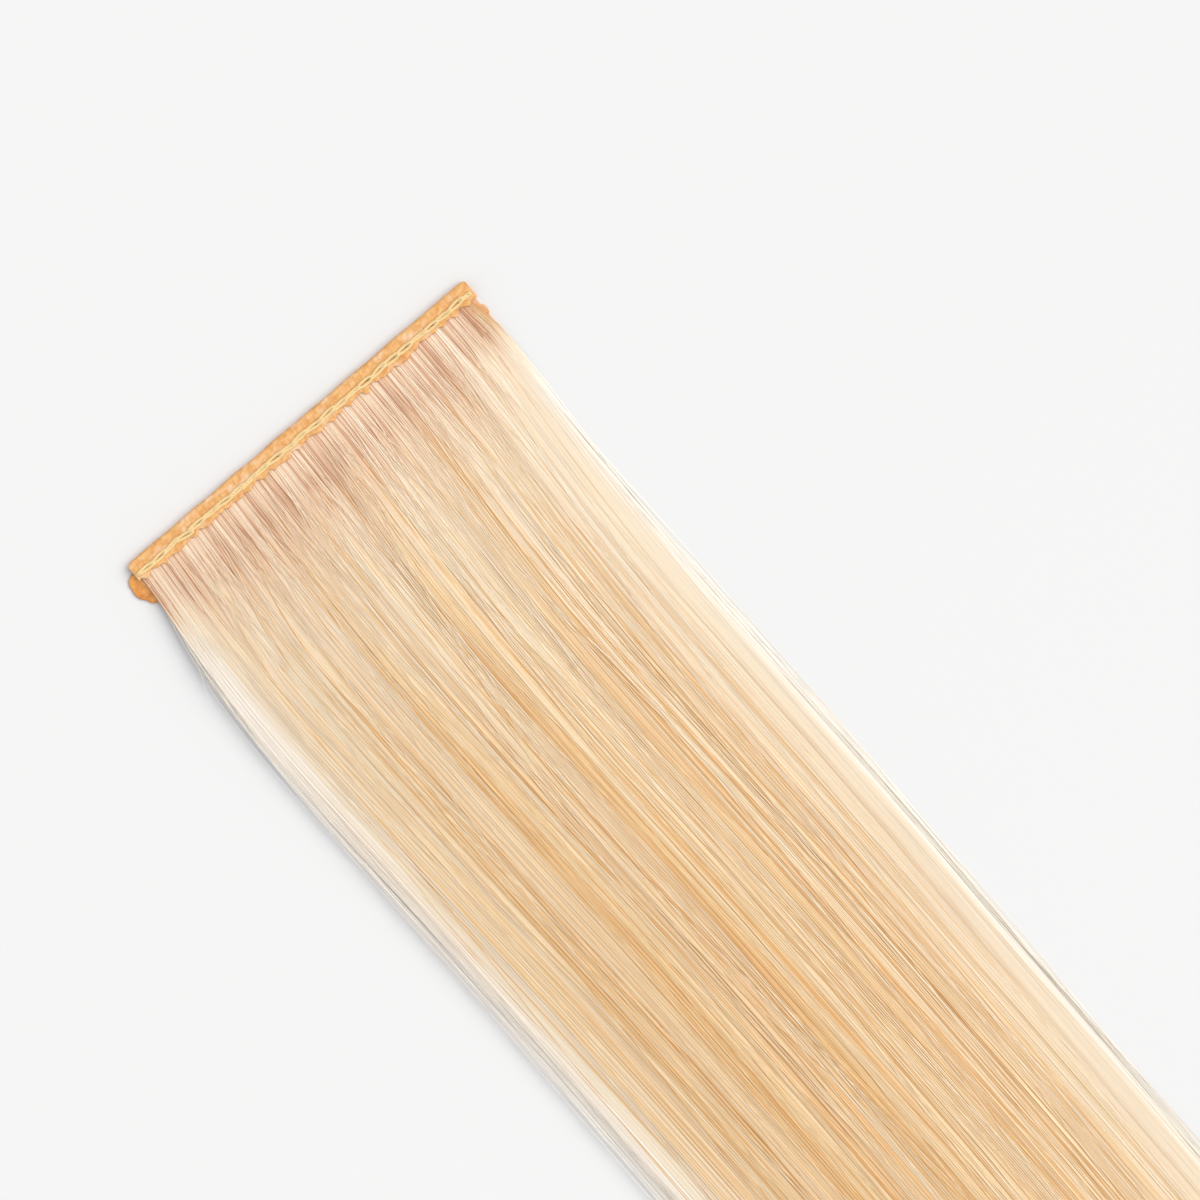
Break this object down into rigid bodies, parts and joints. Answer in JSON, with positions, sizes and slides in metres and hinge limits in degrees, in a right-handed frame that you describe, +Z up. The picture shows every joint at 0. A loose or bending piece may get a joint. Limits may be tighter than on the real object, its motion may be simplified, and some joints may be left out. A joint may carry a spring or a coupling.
{
  "type": "tape-in hair extension",
  "caption": "Flat lock of straight blonde hair whose roots lie in a folded, sewn band backed by adhesive tape, for sticking onto a wearer's own hair.",
  "frame": {"origin": "middle of the adhesive tape's sticky underside, on the surface that the extension lies on", "axes": "+X along the tape, -Y from the tape towards the hair's tips, +Z up from the sticky side to the sewn side"},
  "size_m": [0.0418, 0.35, 0.0015],
  "materials": {
    "adhesive_tape": "clear peach adhesive film",
    "folded_band": "satin, finely pebbled",
    "stitch_row": "twisted thread",
    "hair_lock": "fine straight strands with a soft sheen"
  },
  "bodies": {
    "root": {"adhesive_tape": "adhesive_tape", "folded_band": "folded_band", "stitch_row": "stitch_row", "hair_lock": "hair_lock"}
  },
  "joints": []
}
